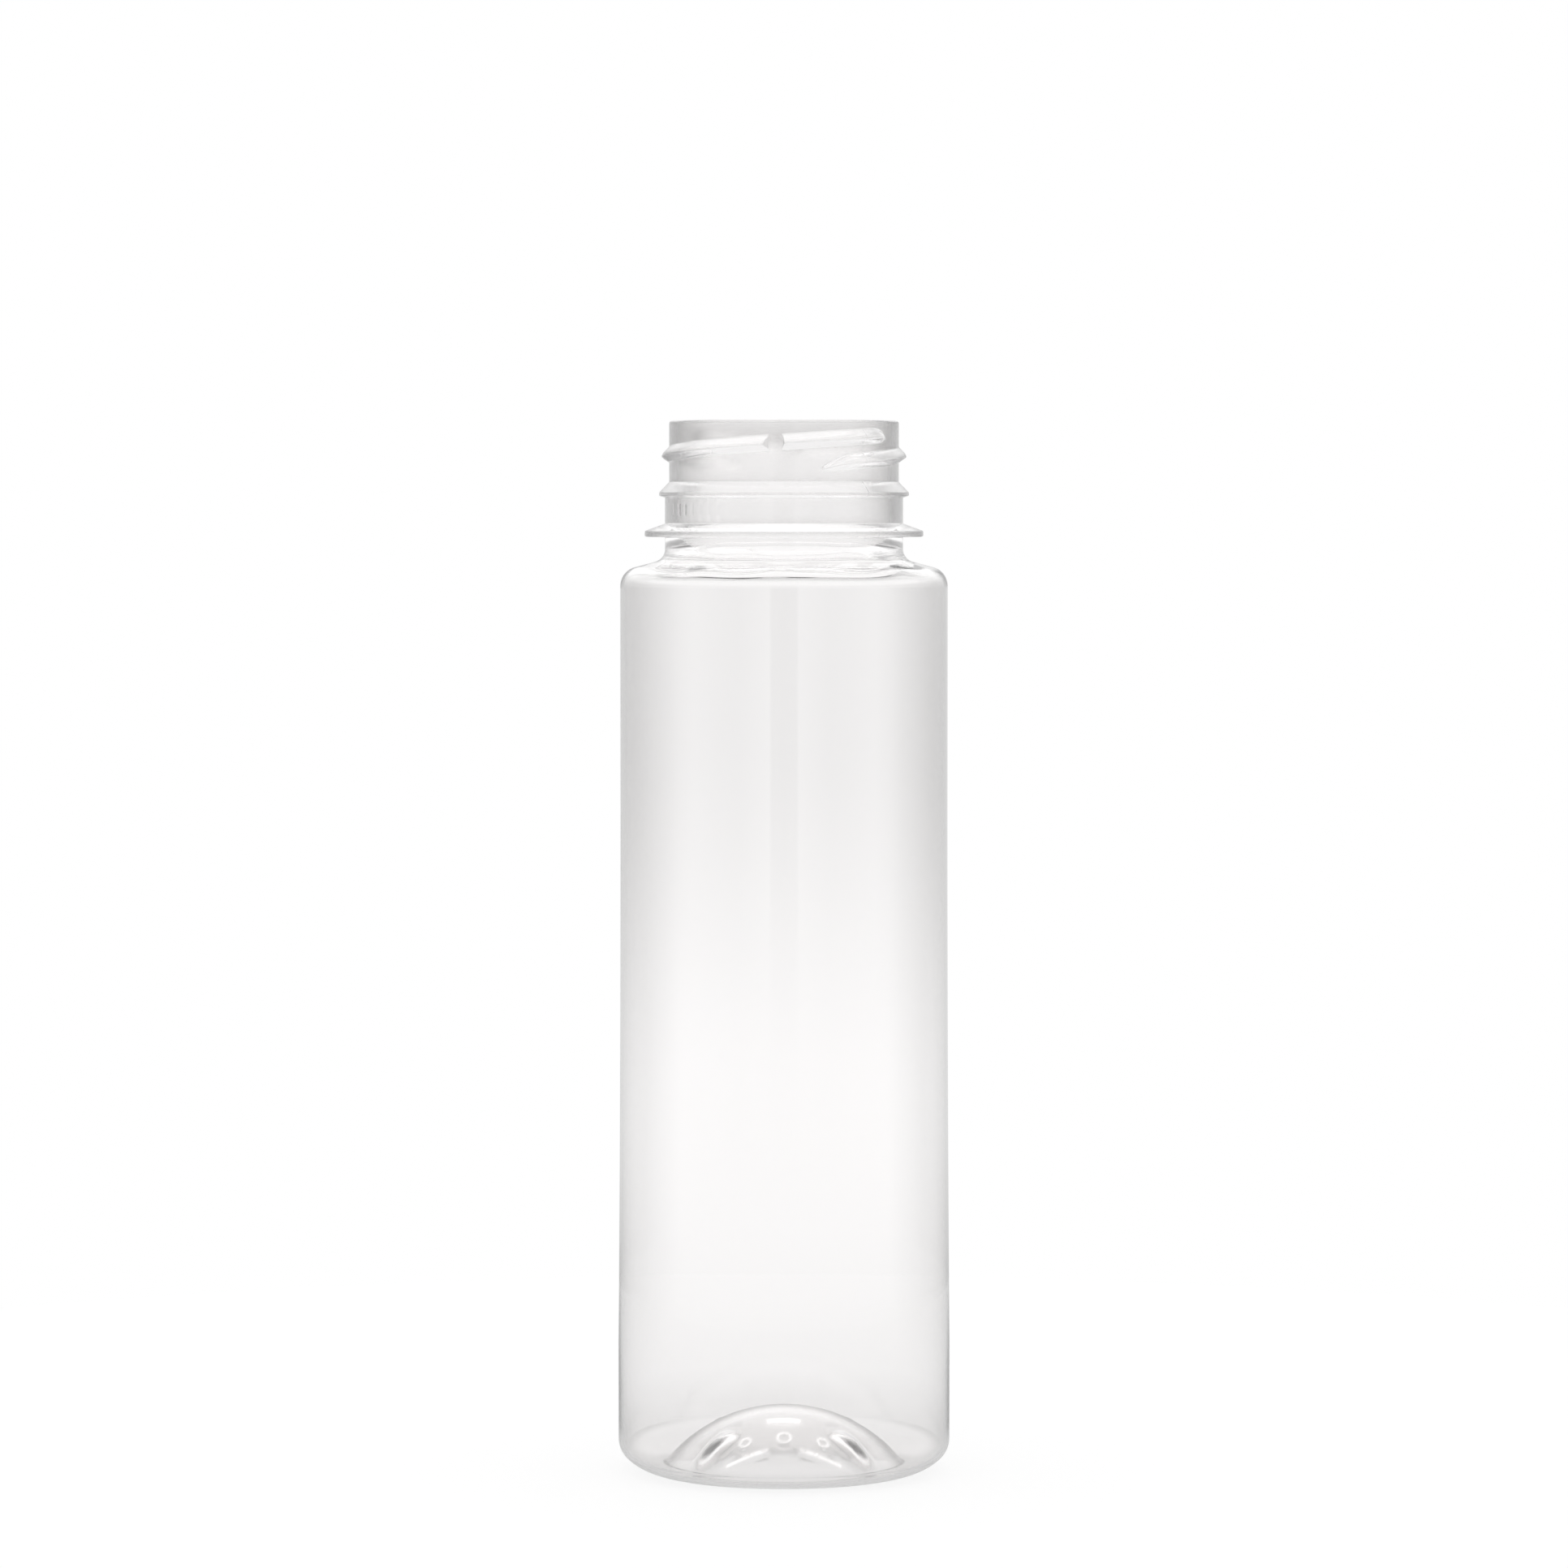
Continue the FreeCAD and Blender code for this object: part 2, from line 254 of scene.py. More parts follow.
# Rows of the mesh: radii across the base, heights up the wall and steps round the heel
rowSizes = {
    "underRadii": (0.8, 1.8, 3.0, 4.4, 5.8, 7.0, 8.0, 8.8),
    "underFine": (9.4, 16.9, 0.3),      # from, to, step
    "domeFine": (17.6, 8.9, -0.31),
    "domeRadii": (8.2, 7.4, 6.4, 5.2, 4.0, 2.8, 1.7, 0.8),
    "wall": (7, 9.5, 12.5, 16, 20, 25, 30, 36, 42, 49, 57, 66, 76, 88, 102, 118),
    "wallTop": 128,                     # the outside has one row more
    "bore": (157, 151),
    "thread": 0.13,
    "threadGaps": (0.75, 0.95),         # from the bead below and the rim above
    "soleSteps": 8,
    "sideSteps": 7,
}

# Columns of the mesh: a plain set, and a fine one for the neck that divides it further
columnSizes = {
    "plain": 240,
    "windows": (                        # from, to and step, in degrees
        (-68, -31, 0.6),
        (-11, 3, 0.35),
        (169, 183, 0.35),
        (41.8, 43.0, 0.14),
        (221.8, 223.0, 0.14),
    ),
}


# A point this far past each rounding keeps the shading of the flats flat
holdShare, leastHold, mostHold = 0.2, 0.05, 0.3


def clamped(share):
    return min(max(share, 0), 1)


def roundedPath(corners):
    # Points of a profile through corners of (radius, height, rounding, steps)
    path = []
    for index, (across, up, rounding, steps) in enumerate(corners):
        corner = Vector((across, up))
        if not rounding:
            path.append(corner)
            continue
        before = (Vector(corners[index - 1][:2]) - corner).normalized()
        after = (Vector(corners[index + 1][:2]) - corner).normalized()
        half = before.angle(after) / 2
        centre = corner + (before + after).normalized() * rounding / math.sin(half)
        start = corner + before * rounding / math.tan(half) - centre
        end = corner + after * rounding / math.tan(half) - centre
        sweep = start.angle_signed(end)
        hold = min(max(rounding * holdShare, leastHold), mostHold)
        path.append(centre + start + before * hold)
        for step in range(steps + 1):
            path.append(centre + turned(start, -sweep * step / steps))
        path.append(centre + end + after * hold)
    return path


def turned(arrow, angle):
    cosine, sine = math.cos(angle), math.sin(angle)
    return Vector((arrow.x * cosine - arrow.y * sine, arrow.x * sine + arrow.y * cosine))


def arcPoints(centre, radius, first, last, steps):
    # Points of an arc between two angles in degrees, both ends included
    angles = [math.radians(first + (last - first) * step / steps) for step in range(steps + 1)]
    return [Vector((centre[0] + radius * math.cos(angle), centre[1] + radius * math.sin(angle)))
            for angle in angles]


def domeHeight(across, edge, edgeHeight, top):
    # Height of a spherical dome with its apex at top and its edge at edgeHeight
    rise = top - edgeHeight
    radius = (edge ** 2 + rise ** 2) / (2 * rise)
    return top - radius + np.sqrt(radius ** 2 - across ** 2)


def wallRadius(height):
    share = (bottle["flareTop"] - height) / (bottle["flareTop"] - bottle["flareBottom"])
    return bottle["bodyRadius"] + bottle["footFlare"] * clamped(share) ** 2


def undersideRows():
    inside, outside = bottle["landInside"], bottle["landOutside"]
    radii = [*rowSizes["underRadii"], *np.arange(*rowSizes["underFine"])]
    points = [Vector((radius, domeHeight(radius, inside, 0, bottle["domeRise"]))) for radius in radii]
    corners = [(*points[-1], 0, 0), (inside, 0, bottle["landRounds"][0], 4), (outside, 0, 0, 0)]
    return points[:-1] + roundedPath(corners)[:-1]


def heelRows(wall):
    # From the standing land up to the side of the bottle, a wall inside the outer face
    foot = bottle["bodyRadius"] + bottle["footFlare"]
    sideCentre = (foot - bottle["heelSide"], bottle["heelHeight"])
    soleCentre = (bottle["landOutside"], bottle["heelSole"])
    lean = math.degrees(math.atan2(soleCentre[1] - sideCentre[1], sideCentre[0] - soleCentre[0]))
    sole = arcPoints(soleCentre, bottle["heelSole"] - wall, -90, -lean, rowSizes["soleSteps"])
    side = arcPoints(sideCentre, bottle["heelSide"] - wall, -lean, 0, rowSizes["sideSteps"])
    return sole + side[1:]


def shoulderRows():
    slope = math.tan(math.radians(bottle["shoulderSlope"]))
    cornerLevel = bottle["shoulderLevel"] - (bottle["bodyRadius"] - bottle["collarRadius"]) * slope
    corners = [
        (bottle["bodyRadius"], bottle["straightLevel"], 0, 0),
        (bottle["bodyRadius"], cornerLevel, bottle["shoulderRound"], 10),
        (bottle["collarRadius"], bottle["shoulderLevel"], bottle["neckFillet"], 8),
        (bottle["collarRadius"], bottle["ringLevels"][0], 0, 0),
    ]
    return roundedPath(corners)[1:-1]


def collarRows():
    ring, bead = bottle["ringLevels"], bottle["beadLevels"]
    soft = markSizes["tickSoft"]
    tickRows = [(bottle["collarRadius"], level + shift, 0, 0)
                for level in markSizes["tickLevels"] for shift in (-soft, 0, soft)]
    corners = [
        (bottle["collarRadius"], ring[0] - 1, 0, 0),
        (bottle["collarRadius"], ring[0], bottle["ringRoots"][0], 2),
        (bottle["ringRadius"], ring[0], bottle["ringRound"], 3),
        (bottle["ringRadius"], ring[1], bottle["ringRound"], 3),
        (bottle["collarRadius"], ring[2], bottle["ringRoots"][1], 2),
        *tickRows,
        (bottle["collarRadius"], bead[0], bottle["beadRoots"][0], 2),
        (bottle["beadRadius"], bead[1], bottle["beadRound"], 3),
        (bottle["beadRadius"], bead[2], bottle["beadRound"], 3),
        (bottle["neckRadius"], bead[3], bottle["beadRoots"][1], 2),
        (bottle["neckRadius"], bead[3] + 1, 0, 0),
    ]
    return roundedPath(corners)[1:-1]


def rimRows():
    corners = [
        (bottle["neckRadius"], bottle["height"] - 1, 0, 0),
        (bottle["neckRadius"], bottle["height"], bottle["rimRound"], 5),
        (bottle["boreRadius"], bottle["height"], bottle["rimRound"], 5),
        (bottle["boreRadius"], bottle["height"] - 1, 0, 0),
    ]
    return roundedPath(corners)[1:-1]


def insideRows():
    # Down the bore, under the shoulder and down the wall to the heel
    slope = math.radians(bottle["shoulderSlope"])
    bore = bottle["boreRadius"]
    inside = bottle["bodyRadius"] - bottle["bodyWall"]
    boreEnd = bottle["shoulderLevel"] + (bottle["collarRadius"] - bore) * math.tan(slope)
    boreEnd -= bottle["shoulderWall"] / math.cos(slope)
    cornerLevel = bottle["shoulderLevel"] - (inside - bottle["collarRadius"]) * math.tan(slope)
    cornerLevel -= bottle["bodyWall"] / math.cos(slope)
    corners = [(bore, level, 0, 0) for level in rowSizes["bore"]]
    corners += [
        (bore, boreEnd, bottle["boreFillet"], 12),
        (inside, cornerLevel, bottle["shoulderRound"] - bottle["bodyWall"], 9),
        (inside, bottle["straightLevel"], 0, 0),
    ]
    rows = roundedPath(corners)[:-1]
    for height in reversed(rowSizes["wall"]):
        share = (bottle["thickTop"] - height) / (bottle["thickTop"] - bottle["thickBottom"])
        wall = bottle["bodyWall"] + (bottle["footWall"] - bottle["bodyWall"]) * clamped(share) ** 2
        rows.append(Vector((wallRadius(height) - wall, height)))
    return rows


def upperDomeRows():
    top = bottle["domeRise"] + bottle["domeWall"]
    sole = heelRows(bottle["soleWall"])[::-1][:-1]
    radii = [*np.arange(*rowSizes["domeFine"]), *rowSizes["domeRadii"]]
    edge, level = bottle["landOutside"], bottle["soleWall"]
    points = [Vector((radius, domeHeight(radius, edge, level, top))) for radius in radii]
    corners = [(*sole[-1], 0, 0), (edge, level, bottle["landRounds"][1], 4), (*points[0], 0, 0)]
    return sole[:-1] + roundedPath(corners) + points[1:]


def softMin(first, second, soft):
    # The smaller of two values, rounded off where they are within soft of each other
    gap = np.maximum(soft - np.abs(first - second), 0)
    return np.minimum(first, second) - gap ** 2 / (4 * soft)


def softMask(distance, soft):
    # 1 inside a shape, 0 outside, with a smooth edge of that width
    share = np.clip(0.5 - distance / soft, 0, 1)
    return share * share * (3 - 2 * share)


def bullnose(share):
    # Rises from 0 to 1 like the quarter of a circle
    return np.sqrt(1 - (1 - share) ** 2)


def threadLift(angles, drop):
    # How far the two ridges stand out at this distance below the rim
    thread = threadSizes
    lift = np.zeros(len(angles))
    degreeLength = math.radians(1) * bottle["neckRadius"]
    upperSoft, lowerSoft, rootSoft = thread["soften"]
    for start in thread["starts"]:
        along = (angles - start + thread["before"]) % 360 - thread["before"]
        left = thread["run"] - along
        across = drop - thread["lowDrop"] + thread["lead"] * along / 360
        lowShare = np.clip(along / thread["lowFade"], 0, 1)
        highUpper, highLower = (np.clip(left / fade, 0, 1) for fade in thread["highFade"])
        noseShare = np.clip(left / thread["noseFade"], 0, 1)
        width = np.sin(lowShare * math.pi / 2) ** thread["lowPower"]
        focus = np.where(along < left, thread["lowFocus"], thread["highFocus"])
        upperEdge = focus - (thread["rootHalf"] + focus) * width * bullnose(highUpper)
        lowerEdge = focus + (thread["rootHalf"] - focus) * width * bullnose(highLower)
        upper = (across - upperEdge) * thread["reach"] / thread["flanks"][0]
        lower = (lowerEdge - across) * thread["reach"] / thread["flanks"][1]
        crest = thread["reach"] * bullnose(noseShare)
        ridge = softMin(softMin(upper, crest, upperSoft), lower, lowerSoft)
        leftRise, rightRise = (thread["reach"] / draft * degreeLength for draft in thread["ventDraft"])
        vent = (thread["ventStart"] - along) * leftRise
        vent = np.maximum(vent, (along - thread["ventEnd"]) * rightRise)
        ridge = softMin(ridge, vent, lowerSoft)
        ridge = -softMin(-ridge, 0.0, rootSoft) - rootSoft / 4
        lift = np.maximum(lift, np.where((along > 0) & (left > 0), ridge, 0))
    return lift


def upperFlank(angles, drop):
    # 1 where a ridge rises to its crest from above, 0 elsewhere
    away = threadSizes["flankReach"]
    rise = threadLift(angles, drop + away) - threadLift(angles, drop - away)
    return np.clip(rise * threadSizes["flanks"][0] / (2 * away * threadSizes["reach"]), 0, 1)


def distanceRound(angles, middle, radius):
    # From an angle, along the circle
    return np.abs((angles - middle + halfTurn) % 360 - halfTurn) * math.radians(1) * radius


def seamLift(angles, radius):
    lift = np.zeros(len(angles))
    for seam in markSizes["seams"]:
        away = distanceRound(angles, seam, radius)
        lift += markSizes["seamHeight"] * np.exp(-(away / markSizes["seamHalf"]) ** 2)
    return lift


def tickLift(angles, radius, height):
    lift = np.zeros(len(angles))
    low, high = markSizes["tickLevels"]
    soft = markSizes["tickSoft"]
    if low - soft / 2 < height < high + soft / 2:
        for tick in markSizes["ticks"]:
            away = distanceRound(angles, tick, radius)
            lift += markSizes["tickHeight"] * softMask(away - markSizes["tickHalf"], soft)
    return lift


def ribMask(x, y, inner, outer, half):
    # Ribs with round ends that run out from the axis
    mask = np.zeros(len(x))
    middle, reach = (inner + outer) / 2, (outer - inner) / 2 - half
    for angle in ribSizes["angles"]:
        outX, outY = math.sin(math.radians(angle)), -math.cos(math.radians(angle))
        along = x * outX + y * outY
        across = x * outY - y * outX
        beyond = np.maximum(np.abs(along - middle) - reach, 0)
        distance = np.sqrt(beyond ** 2 + across ** 2) - half
        mask = np.maximum(mask, softMask(distance + ribSizes["soft"] / 2, ribSizes["soft"]))
    first, last = ribSizes["rise"]
    return mask * softMask((first + last) / 2 - np.hypot(x, y), last - first)


def baseMarks(x, y):
    # 1 on the plain bars and rings under the dome, 0 elsewhere
    mask = np.zeros(len(x))
    for (startX, startY), (endX, endY) in markSizes["bars"]:
        runX, runY = endX - startX, endY - startY
        share = ((x - startX) * runX + (y - startY) * runY) / (runX ** 2 + runY ** 2)
        share = np.clip(share, 0, 1)
        distance = np.hypot(x - startX - share * runX, y - startY - share * runY)
        mask = np.maximum(mask, softMask(distance - markSizes["barHalf"], markSizes["baseSoft"]))
    for (middleX, middleY), radius in markSizes["rings"]:
        distance = np.abs(np.hypot(x - middleX, y - middleY) - radius) - markSizes["ringHalf"]
        mask = np.maximum(mask, softMask(distance, markSizes["baseSoft"]))
    return mask


def shoulderWave(point, angles):
    # Blown plastic is never quite even where the neck turns into the shoulder
    share = softMask(abs(point.x - waveSizes["middle"]) - waveSizes["half"], waveSizes["half"])
    turn = np.radians(angles)
    return share * sum(size * np.sin(count * turn + shift) for count, size, shift in waveSizes["waves"])


def steepness(across, edge, rise):
    # How much further a dome's face reaches upwards than square to itself
    radius = (edge ** 2 + rise ** 2) / (2 * rise)
    return 1 / np.sqrt(1 - np.minimum(across / radius, ribSizes["steepest"]) ** 2)


def buildColumns():
    # Angles within each plain step: its start for the plain rows, more for the fine ones
    step = 360 / columnSizes["plain"]
    plain, fine = [], []
    for index in range(columnSizes["plain"]):
        start = -halfTurn + index * step
        finest = step
        for first, last, size in columnSizes["windows"]:
            shift = 360 if last > halfTurn and start < 0 else 0
            if first < start + shift + step and last > start + shift:
                finest = min(finest, size)
        pieces = round(step / finest)
        fine.append([start + step * part / pieces for part in range(pieces)])
        plain.append([start])
    return plain, fine


def profileRows():
    # (point, zone) from the underside's middle up the outside and back down the inside
    heights = (*rowSizes["wall"], rowSizes["wallTop"])
    wall = [Vector((wallRadius(height), height)) for height in heights]
    below, above = rowSizes["threadGaps"]
    threadTop = bottle["height"] - above
    threadHeights = np.arange(bottle["beadLevels"][3] + below, threadTop, rowSizes["thread"])
    rows = [(point, "under") for point in undersideRows()]
    rows += [(point, "plain") for point in heelRows(0) + wall + shoulderRows()]
    rows += [(point, "collar") for point in collarRows()]
    rows += [(Vector((bottle["neckRadius"], height)), "thread") for height in threadHeights]
    rows += [(point, "rim") for point in rimRows()]
    rows += [(point, "inside") for point in insideRows()]
    rows += [(point, "dome") for point in upperDomeRows()]
    return rows


def shapedRow(point, normal, zone, angles):
    # Points round the axis at one place of the profile, with what stands out or sinks in there
    radius = np.full(len(angles), point.x)
    height = np.full(len(angles), point.y)
    sine, cosine = np.sin(np.radians(angles)), np.cos(np.radians(angles))
    x, y = point.x * sine, -point.x * cosine
    if zone == "under":
        hollow = ribMask(x, y, ribSizes["hollowInner"], ribSizes["hollowOuter"], ribSizes["hollowHalf"])
        lean = steepness(radius, bottle["landInside"], bottle["domeRise"])
        height += ribSizes["hollowLift"] * lean * hollow - markSizes["baseHeight"] * baseMarks(x, y)
    if zone == "dome":
        rib = ribMask(x, y, ribSizes["inner"], ribSizes["outer"], ribSizes["half"])
        height += ribSizes["lift"] * steepness(radius, bottle["landOutside"], bottle["domeRise"]) * rib
        height -= markSizes["insideDepth"] * baseMarks(x, y)
    if zone == "inside":
        height += shoulderWave(point, angles)
    if zone in ("collar", "thread"):
        lift = seamLift(angles, point.x)
        if zone == "collar":
            lift += tickLift(angles, point.x, point.y)
        else:
            lift += threadLift(angles, bottle["height"] - point.y)
        radius += lift * normal.x
        height += lift * normal.y
    return np.stack((radius * sine, -radius * cosine, height), axis=1)


# Finish of the clear plastic: a slight grey, with painted shade that darkens it at the rim and the heel
clearFinish = {
    "tint": (0.974, 0.968, 0.966, 1.0),
    "shade": (0.962, 0.955, 0.954, 1.0),
    "roughness": 0.015,
    "haze": 0.03,               # rougher patches where the wall was handled
    "satin": 0.2,               # roughness of the dullest faces
    "dull": {"under": 0.5, "dome": 0.25},
    "dullRibs": 0.6,
    "glint": 0.75,              # how much the base's marks mirror
    "ridgeGlint": 0.27,         # share of that on the thread's upper flanks
    "boreEnd": 143.7,           # the bore is dull down to here
    "boreFade": 4.5,
    # Painted shade: the rim band is made a darker grey
    "rim": (0.877, 0.87, 0.868, 1.0),
    "rimShadeFade": (156.2, 158.4),
    "ridgeFade": (0.05, 0.4),   # the rim's painted shade fades as the ridges stand out this far
    # Painted shade: a darker grey where the wall turns under at the heel
    "heel": (0.885, 0.878, 0.876, 1.0),
    "heelFade": (13.5, 6.0),
    "heelSoft": 1.0,
    "refraction": 1.575,
    "ripple": 0.012,            # height of the wall's slow waves
    "streakScale": (90, 90, 9),
    "streakShare": 0.8,
    "cloudScale": 45.0,
    "scuffScale": 900.0,
}


def dullness(point, zone, x, y):
    # 1 on moulded faces and less on blown ones, which are glossier
    middle = (bottle["boreRadius"] + bottle["neckRadius"]) / 2
    if zone == "inside" or (zone == "rim" and point.x < middle):
        return np.full(len(x), softMask(clearFinish["boreEnd"] - point.y, clearFinish["boreFade"]))
    if zone not in clearFinish["dull"]:
        return np.zeros(len(x))
    ribs = ribMask(x, y, ribSizes["inner"], ribSizes["outer"], ribSizes["half"])
    return clearFinish["dull"][zone] + clearFinish["dullRibs"] * ribs


def heelShadeShare(point, zone):
    # Share of painted heel shade: 1 where the wall turns under at the heel, 0 in the wall and the dome
    high, low = clearFinish["heelFade"]
    turned = softMask(point.y - (high + low) / 2, high - low)
    if zone in ("plain", "inside"):
        return turned
    return turned * softMask(bottle["landInside"] - point.x, clearFinish["heelSoft"])


def mirrored(point, zone, angles, x, y):
    # 1 on the base's marks and less on the thread's upper flanks
    if zone == "thread":
        return clearFinish["ridgeGlint"] * upperFlank(angles, bottle["height"] - point.y)
    return baseMarks(x, y) * (zone == "dome")


def paint(mesh, name, values):
    # A value for each point of the mesh, which its material reads by name
    layer = mesh.attributes.new(name, "FLOAT", "POINT")
    layer.data.foreach_set("value", values)


def stitch(low, high, faces):
    # Faces between two rows, plain step by plain step. One row may be finer than the other.
    for below, above in zip(low, high):
        if len(below) == len(above):
            for index in range(len(below) - 1):
                faces.append((below[index], below[index + 1], above[index + 1], above[index]))
        elif len(below) > len(above):
            for first, second in zip(below, below[1:]):
                faces.append((first, second, above[0]))
            faces.append((below[-1], above[1], above[0]))
        else:
            for first, second in zip(above, above[1:]):
                faces.append((below[0], second, first))
            faces.append((below[0], below[1], above[-1]))


def buildBottle():
    plain, fine = buildColumns()
    rows = profileRows()
    points = [np.array([[0, 0, bottle["domeRise"]]])]
    painted = {"dull": [[clearFinish["dull"]["under"]]], "thick": [[0.0]], "glint": [[0.0]]}
    count = 1
    rings = []
    for index, (point, zone) in enumerate(rows):
        before = rows[max(index - 1, 0)][0]
        after = rows[min(index + 1, len(rows) - 1)][0]
        run = (after - before).normalized()
        columns = fine if zone in ("collar", "thread", "rim") else plain
        angles = np.array([angle for group in columns for angle in group])
        row = shapedRow(point, Vector((run.y, -run.x)), zone, angles)
        points.append(row)
        painted["dull"].append(dullness(point, zone, row[:, 0], row[:, 1]))
        painted["thick"].append(np.full(len(angles), heelShadeShare(point, zone)))
        painted["glint"].append(mirrored(point, zone, angles, row[:, 0], row[:, 1]))
        ring, first = [], count
        for group in columns:
            ring.append(list(range(count, count + len(group))))
            count += len(group)
        starts = [group[0] for group in ring[1:]] + [first]
        rings.append([group + [following] for group, following in zip(ring, starts)])
    points.append(np.array([[0, 0, bottle["domeRise"] + bottle["domeWall"]]]))
    painted["dull"].append([clearFinish["dull"]["dome"]])
    painted["thick"].append([0.0])
    painted["glint"].append([0.0])
    faces = []
    for group in rings[0]:
        faces += [(0, second, first) for first, second in zip(group, group[1:])]
    for low, high in zip(rings, rings[1:]):
        stitch(low, high, faces)
    for group in rings[-1]:
        faces += [(first, second, count) for first, second in zip(group, group[1:])]
    mesh = bpy.data.meshes.new("bottleWall")
    mesh.from_pydata(np.concatenate(points) * millimetre, [], faces)
    mesh.polygons.foreach_set("use_smooth", [True] * len(mesh.polygons))
    mesh.update()
    for name, values in painted.items():
        paint(mesh, name, np.concatenate(values))
    piece = bpy.data.objects.new("bottleWall", mesh)
    bpy.context.collection.objects.link(piece)
    triangles = sum(len(face) - 2 for face in faces)
    print(f"bottle wall built: {len(rows)} rows, {triangles} triangles")
    return piece


def blend(tree, share, first, second):
    return tree.add("ShaderNodeMix", {"data_type": "RGBA"}, {0: share, 6: first, 7: second}, output=2)


def noise(tree, place, scale, detail):
    return tree.add("ShaderNodeTexNoise", None, {"Vector": place, "Scale": scale, "Detail": detail})


def clearPlastic():
    finish = clearFinish
    material = bpy.data.materials.new("clearBlownPlastic")
    tree = emptyTree(material)
    place = tree.add("ShaderNodeTexCoord", output=3)
    drawn = tree.add("ShaderNodeMapping", None, {"Vector": place, "Scale": finish["streakScale"]})
    streaks = noise(tree, drawn, 1.0, 2.0)
    cloud = noise(tree, place, finish["cloudScale"], 3.0)
    scuff = noise(tree, place, finish["scuffScale"], 2.0)
    flat = tree.add("ShaderNodeVectorMath", {"operation": "MULTIPLY"}, {0: place, 1: (1, 1, 0)})
    radius = tree.add("ShaderNodeVectorMath", {"operation": "LENGTH"}, {0: flat}, output=1)
    height = tree.add("ShaderNodeSeparateXYZ", None, {0: place}, output=2)
    dull, thick, glint = (tree.add("ShaderNodeAttribute", {"attribute_name": name}, output=2)
                          for name in ("dull", "thick", "glint"))
    ridgeEdges = [(bottle["neckRadius"] + reach) * millimetre for reach in finish["ridgeFade"]]
    rimLevels = [level * millimetre for level in finish["rimShadeFade"]]
    # Painted shade: darker grey towards the rim, except where the ridges stand out
    rimShade = height.fade(*rimLevels) * (1 - radius.fade(*ridgeEdges))
    colour = blend(tree, cloud, finish["tint"], finish["shade"])
    colour = blend(tree, rimShade, colour, finish["rim"])
    # Painted shade: darker grey at the heel
    colour = blend(tree, thick, colour, finish["heel"])
    waves = streaks * finish["streakShare"] + cloud * (1 - finish["streakShare"])
    ripple = finish["ripple"] * millimetre
    shell = tree.add("ShaderNodeBsdfPrincipled", None, {
        "Base Color": colour,
        "Roughness": finish["roughness"] + cloud * scuff * finish["haze"] + dull * finish["satin"],
        "Metallic": glint * finish["glint"],
        "IOR": finish["refraction"],
        "Transmission Weight": 1.0,
        "Normal": tree.add("ShaderNodeBump", None, {"Height": waves, "Strength": 1.0, "Distance": ripple}),
    })
    tree.add("ShaderNodeOutputMaterial", None, {"Surface": shell})
    return material


bottleWall = buildBottle()
bottleWall.data.materials.append(clearPlastic())
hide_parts("bottle")
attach(bottleWall, "root")
print("bottle dressed")

# Studio: white to the camera, and softer and darker to what the plastic reflects. Sizes in
# metres. Lists are (place, level): from ahead (0) round to behind the camera (1), from the
# floor's middle to its edge, or by the sine of the angle below the horizon.
studio = {
    "floorRadius": 0.24,
    "floorDrop": 0.00005,
    "floorSides": 96,
    "floorColour": (0.12, 0.12, 0.12, 1.0),
    "floorGlow": 0.88,
    # share of the glow that reflections see in front of the bottle
    "glowSeen": [(0.0, 0.75), (0.14, 0.7), (0.35, 0.54), (0.6, 0.65), (1.0, 0.82)],
    "glowPeak": 1.14,
    "glowBehind": 0.62,             # and behind it
    "behind": (-0.06, 0.06),
    "round": [(0.0, 0.8), (0.15, 0.6), (0.22, 0.45), (0.27, 0.27), (0.33, 0.17), (0.40, 0.18),
              (0.47, 0.27), (0.54, 0.53), (0.62, 0.7), (0.72, 0.58), (0.82, 0.53), (0.91, 0.65),
              (0.943, 0.7), (0.95, 0.42), (1.0, 0.37)],
    "tableRound": [(0.0, 0.58), (0.36, 0.56), (0.48, 0.79), (0.56, 1.0), (1.0, 1.0)],
    "tableGlow": 1.28,
    "tableFall": [(0.0, 1.0), (0.1, 1.0), (0.114, 0.88), (0.127, 0.76), (0.16, 0.68), (0.24, 0.5),
                  (1.0, 0.5)],
    "below": (-0.1, -0.035),        # sines of the heights between which the table fades out
    "above": (0.06, 0.4),           # and the ceiling fades in
    "ceiling": 1.47,
    "window": (0.719, 0.695),       # forward and upward parts of its direction
    "windowSize": (0.11, 0.07),     # half its width and height
    "windowCore": (0.8, 0.6),       # share of each before its edge begins
    "windowGlow": 3.5,
    "ambient": 1.0,
}


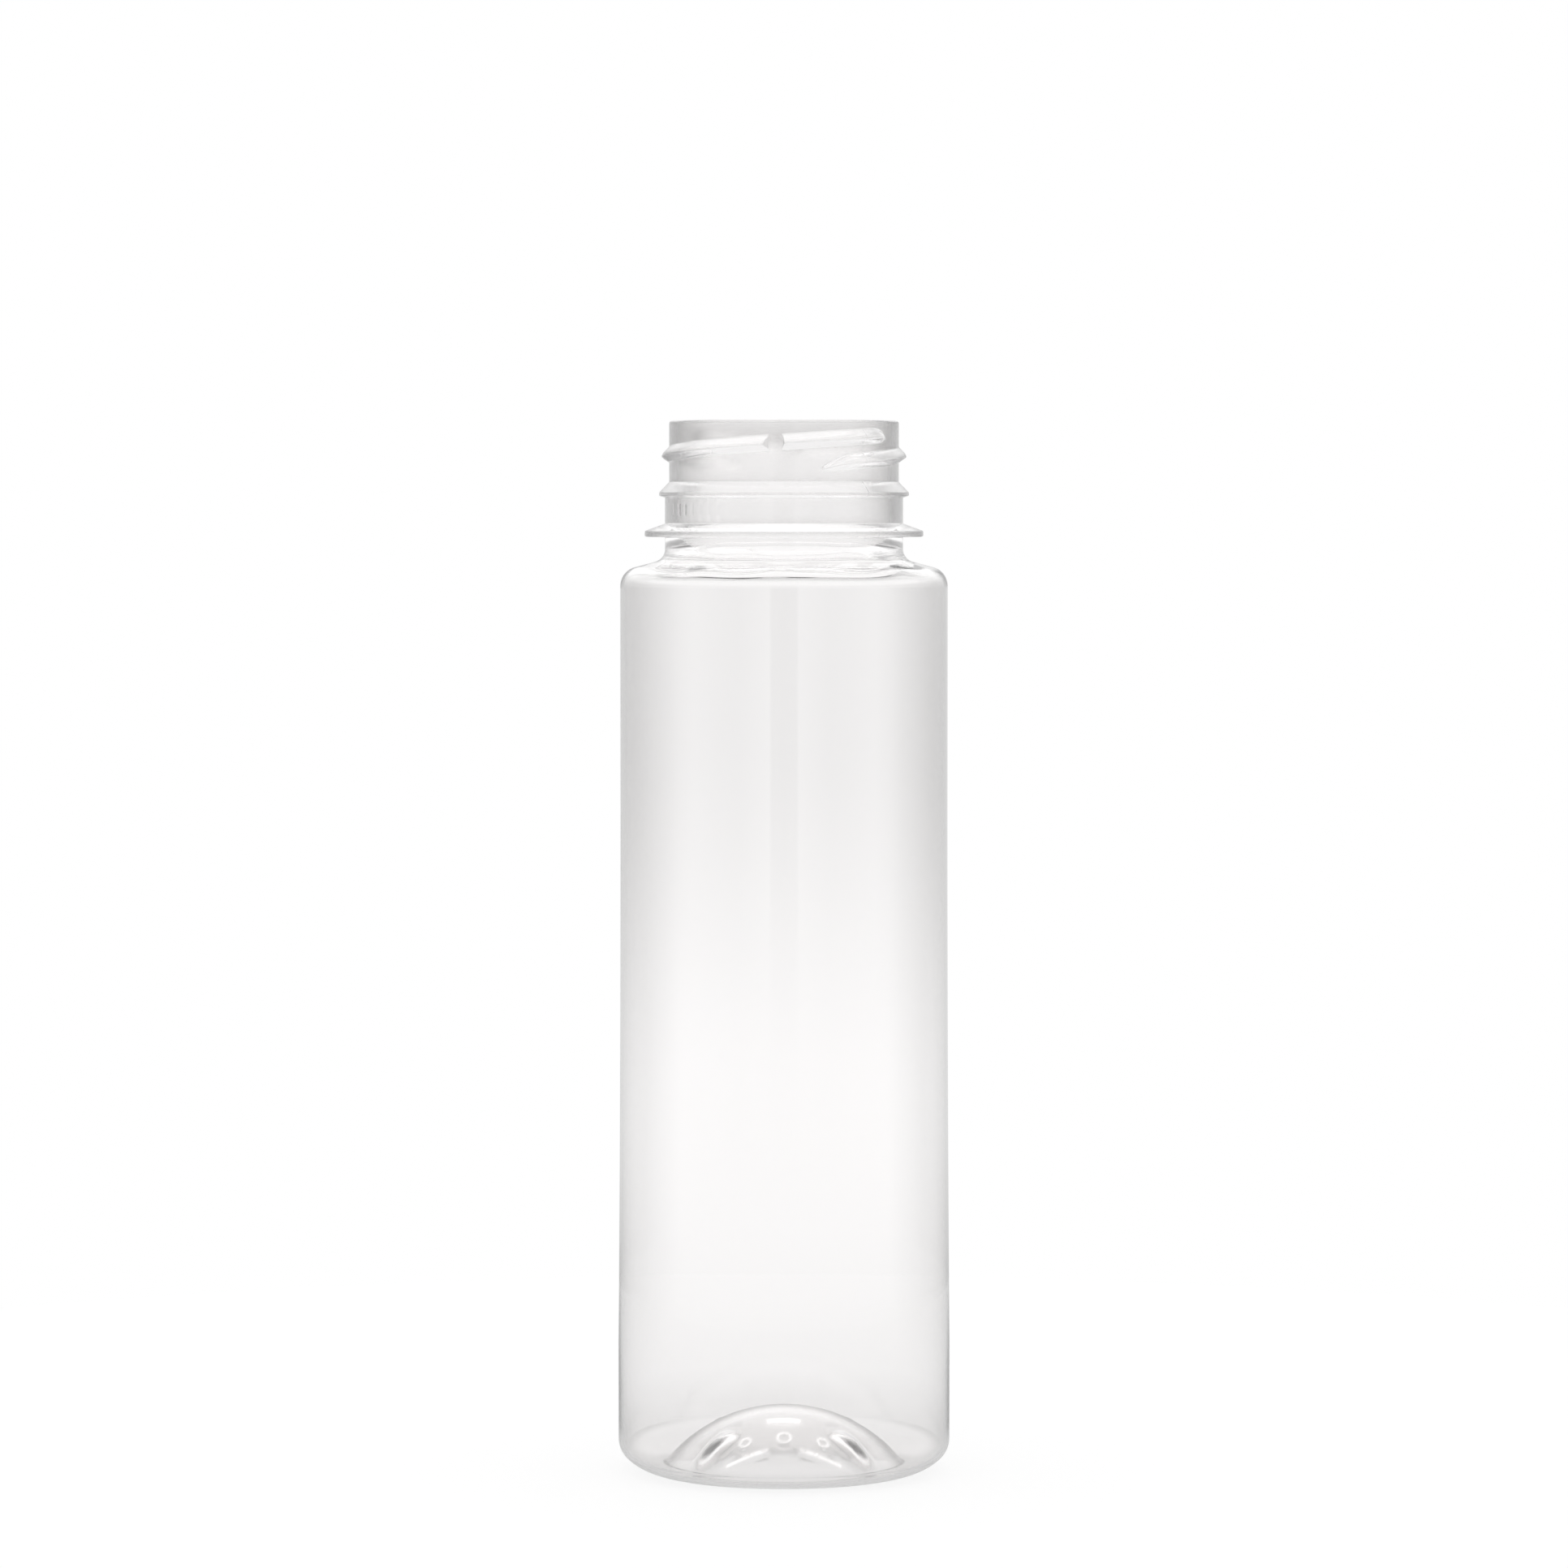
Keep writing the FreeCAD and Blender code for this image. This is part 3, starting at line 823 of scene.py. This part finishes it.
def lightWorld():
    world = bpy.data.worlds.new("studio")
    bpy.context.scene.world = world
    tree = emptyTree(world)
    direction = tree.add("ShaderNodeTexCoord", output=0)
    x, y, z = (tree.add("ShaderNodeSeparateXYZ", None, {0: direction}, output=axis) for axis in range(3))
    aside = tree.math("ABSOLUTE", x)
    turn = tree.math("ARCTAN2", aside, y) / math.pi
    walls = tree.add("ShaderNodeValToRGB", {"stops": studio["round"]}, {0: turn})
    table = tree.add("ShaderNodeValToRGB", {"stops": studio["tableRound"]}, {0: turn})
    table = table * tree.add("ShaderNodeValToRGB", {"stops": studio["tableFall"]}, {0: z * -1})
    lifted = 1 - z.fade(*studio["below"])
    raised = z.fade(*studio["above"])
    room = walls * (1 - lifted) + table * lifted * studio["tableGlow"]
    room = room * (1 - raised) + raised * studio["ceiling"]
    forward, upward = studio["window"]
    aslant = tree.math("ABSOLUTE", z * forward - y * upward)
    ahead = tree.math("GREATER_THAN", y, 0.0)
    (wide, tall), (wideCore, tallCore) = studio["windowSize"], studio["windowCore"]
    window = (1 - aside.fade(wide * wideCore, wide)) * (1 - aslant.fade(tall * tallCore, tall))
    room = room + window * ahead * studio["windowGlow"]
    through = rayIs(tree, "Transmission") * (1 - hasReflected(tree))
    white = tree.math("MAXIMUM", rayIs(tree, "Camera"), through)
    level = room * (1 - white) + white
    diffuse = rayIs(tree, "Diffuse")
    level = level * (1 - diffuse) + diffuse * studio["ambient"]
    background = tree.add("ShaderNodeBackground", None, {"Color": level, "Strength": 1.0})
    tree.add("ShaderNodeOutputWorld", None, {"Surface": background})


def paleFloor():
    material = bpy.data.materials.new("paleFloor")
    tree = emptyTree(material)
    place = tree.add("ShaderNodeTexCoord", output=3)
    away = tree.add("ShaderNodeVectorMath", {"operation": "LENGTH"}, {0: place}, output=1)
    lit = tree.add("ShaderNodeValToRGB", {"stops": studio["glowSeen"]}, {0: away / studio["floorRadius"]})
    behind = tree.add("ShaderNodeSeparateXYZ", None, {0: place}, output=1).fade(*studio["behind"])
    lit = lit * (1 - behind) * studio["glowPeak"] + behind * studio["glowBehind"]
    seen = tree.math("MAXIMUM", rayIs(tree, "Camera"), rayIs(tree, "Glossy"))
    seen = tree.math("MAXIMUM", seen, rayIs(tree, "Transmission"))
    seen = seen * (1 - hasReflected(tree) * (1 - lit))
    matt = tree.add("ShaderNodeBsdfDiffuse", None, {"Color": studio["floorColour"]})
    glow = tree.add("ShaderNodeEmission", None, {"Color": seen * studio["floorGlow"], "Strength": 1.0})
    both = tree.add("ShaderNodeAddShader", None, {0: matt, 1: glow})
    tree.add("ShaderNodeOutputMaterial", None, {"Surface": both})
    return material


def layFloor():
    radius, sides = studio["floorRadius"], studio["floorSides"]
    turns = [2 * math.pi * index / sides for index in range(sides)]
    points = [(radius * math.cos(turn), radius * math.sin(turn), -studio["floorDrop"]) for turn in turns]
    mesh = bpy.data.meshes.new("floor")
    mesh.from_pydata(points, [], [tuple(range(sides))])
    mesh.materials.append(paleFloor())
    floor = bpy.data.objects.new("floor", mesh)
    bpy.context.collection.objects.link(floor)


lightWorld()
layFloor()
print("studio lit")
